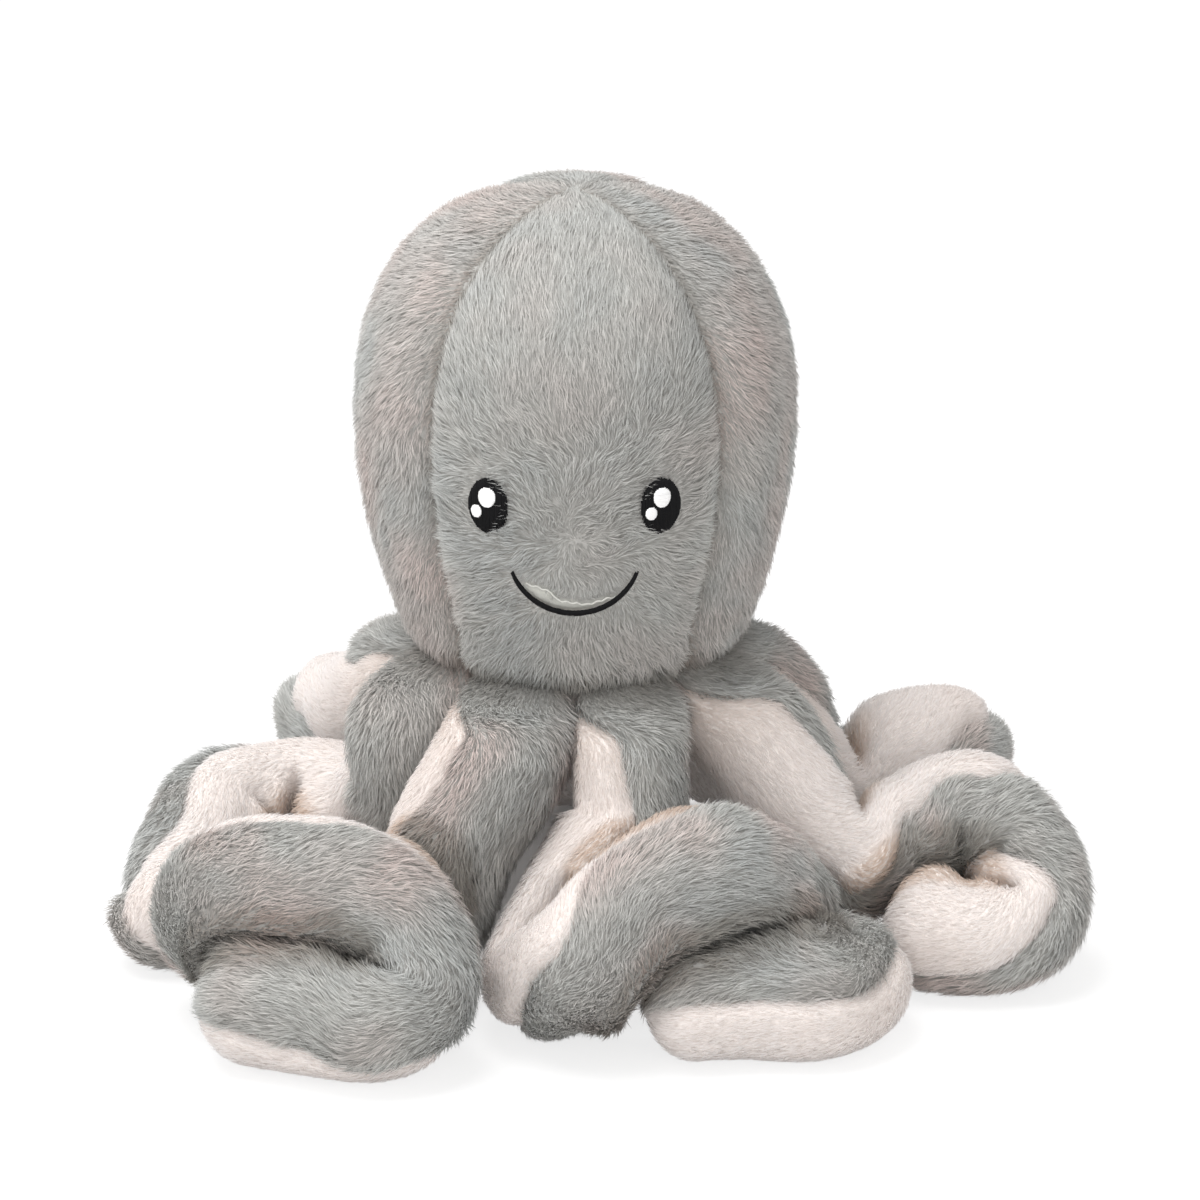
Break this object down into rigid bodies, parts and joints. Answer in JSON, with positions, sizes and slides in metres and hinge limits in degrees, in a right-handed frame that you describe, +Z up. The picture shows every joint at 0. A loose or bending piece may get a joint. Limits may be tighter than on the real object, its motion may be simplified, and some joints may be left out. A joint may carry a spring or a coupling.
{
  "type": "plush octopus",
  "caption": "Stuffed plush octopus with a tall round gored head, embroidered eyes and smile, and curled two-tone arms that lift at the neck seam",
  "frame": {"origin": "middle of the toy's bounding box, on the surface that it sits on", "axes": "+Z up through the head, -Y is the way the face looks, +X is the viewer's right, the way the arms spread furthest"},
  "size_m": [0.2944, 0.2658, 0.237],
  "materials": {
    "grey_fur": "matte short-pile fur",
    "pink_plush": "matte short-pile plush",
    "filling": "loose polyester fibre",
    "black_thread": "satin stitch",
    "white_thread": "satin stitch"
  },
  "bodies": {
    "head": {"face_panel": "grey_fur", "right_side_panel": "grey_fur", "back_panel": "grey_fur", "left_side_panel": "grey_fur", "head_filling": "filling", "base_panel": "pink_plush", "left_eye": "black_thread", "left_eye_large_glint": "white_thread", "left_eye_small_glint": "white_thread", "right_eye": "black_thread", "right_eye_large_glint": "white_thread", "right_eye_small_glint": "white_thread", "smile": "black_thread"},
    "front_left_arm": {"front_left_arm_top_panel": "grey_fur", "front_left_arm_under_panel": "pink_plush", "front_left_arm_filling": "filling"},
    "front_right_arm": {"front_right_arm_top_panel": "grey_fur", "front_right_arm_under_panel": "pink_plush", "front_right_arm_filling": "filling"},
    "right_front_arm": {"right_front_arm_top_panel": "grey_fur", "right_front_arm_under_panel": "pink_plush", "right_front_arm_filling": "filling"},
    "right_back_arm": {"right_back_arm_top_panel": "grey_fur", "right_back_arm_under_panel": "pink_plush", "right_back_arm_filling": "filling"},
    "back_right_arm": {"back_right_arm_top_panel": "grey_fur", "back_right_arm_under_panel": "pink_plush", "back_right_arm_filling": "filling"},
    "back_left_arm": {"back_left_arm_top_panel": "grey_fur", "back_left_arm_under_panel": "pink_plush", "back_left_arm_filling": "filling"},
    "left_back_arm": {"left_back_arm_top_panel": "grey_fur", "left_back_arm_under_panel": "pink_plush", "left_back_arm_filling": "filling"},
    "left_front_arm": {"left_front_arm_top_panel": "grey_fur", "left_front_arm_under_panel": "pink_plush", "left_front_arm_filling": "filling"}
  },
  "joints": [
    {"name": "front_left_arm_lift", "type": "hinge", "parent": "head", "child": "front_left_arm", "pos_m": [-0.02635, -0.03869, 0.0939], "axis": [-0.9239, 0.3827, 0], "range_deg": [0, 50], "stiffness_Nm_per_rad": 0.08, "springref_deg": -25.21},
    {"name": "front_right_arm_lift", "type": "hinge", "parent": "head", "child": "front_right_arm", "pos_m": [0.01262, -0.03869, 0.0939], "axis": [-0.9239, -0.3827, 0], "range_deg": [0, 50], "stiffness_Nm_per_rad": 0.08, "springref_deg": -25.21},
    {"name": "right_front_arm_lift", "type": "hinge", "parent": "head", "child": "right_front_arm", "pos_m": [0.04019, -0.01113, 0.0939], "axis": [-0.3827, -0.9239, 0], "range_deg": [0, 50], "stiffness_Nm_per_rad": 0.08, "springref_deg": -25.21},
    {"name": "right_back_arm_lift", "type": "hinge", "parent": "head", "child": "right_back_arm", "pos_m": [0.04019, 0.02785, 0.0939], "axis": [0.3827, -0.9239, 0], "range_deg": [0, 50], "stiffness_Nm_per_rad": 0.08, "springref_deg": -25.21},
    {"name": "back_right_arm_lift", "type": "hinge", "parent": "head", "child": "back_right_arm", "pos_m": [0.01262, 0.05542, 0.0939], "axis": [0.9239, -0.3827, 0], "range_deg": [0, 50], "stiffness_Nm_per_rad": 0.08, "springref_deg": -25.21},
    {"name": "back_left_arm_lift", "type": "hinge", "parent": "head", "child": "back_left_arm", "pos_m": [-0.02635, 0.05542, 0.0939], "axis": [0.9239, 0.3827, 0], "range_deg": [0, 50], "stiffness_Nm_per_rad": 0.08, "springref_deg": -25.21},
    {"name": "left_back_arm_lift", "type": "hinge", "parent": "head", "child": "left_back_arm", "pos_m": [-0.05392, 0.02785, 0.0939], "axis": [0.3827, 0.9239, 0], "range_deg": [0, 50], "stiffness_Nm_per_rad": 0.08, "springref_deg": -25.21},
    {"name": "left_front_arm_lift", "type": "hinge", "parent": "head", "child": "left_front_arm", "pos_m": [-0.05392, -0.01113, 0.0939], "axis": [-0.3827, 0.9239, 0], "range_deg": [0, 50], "stiffness_Nm_per_rad": 0.08, "springref_deg": -25.21}
  ]
}
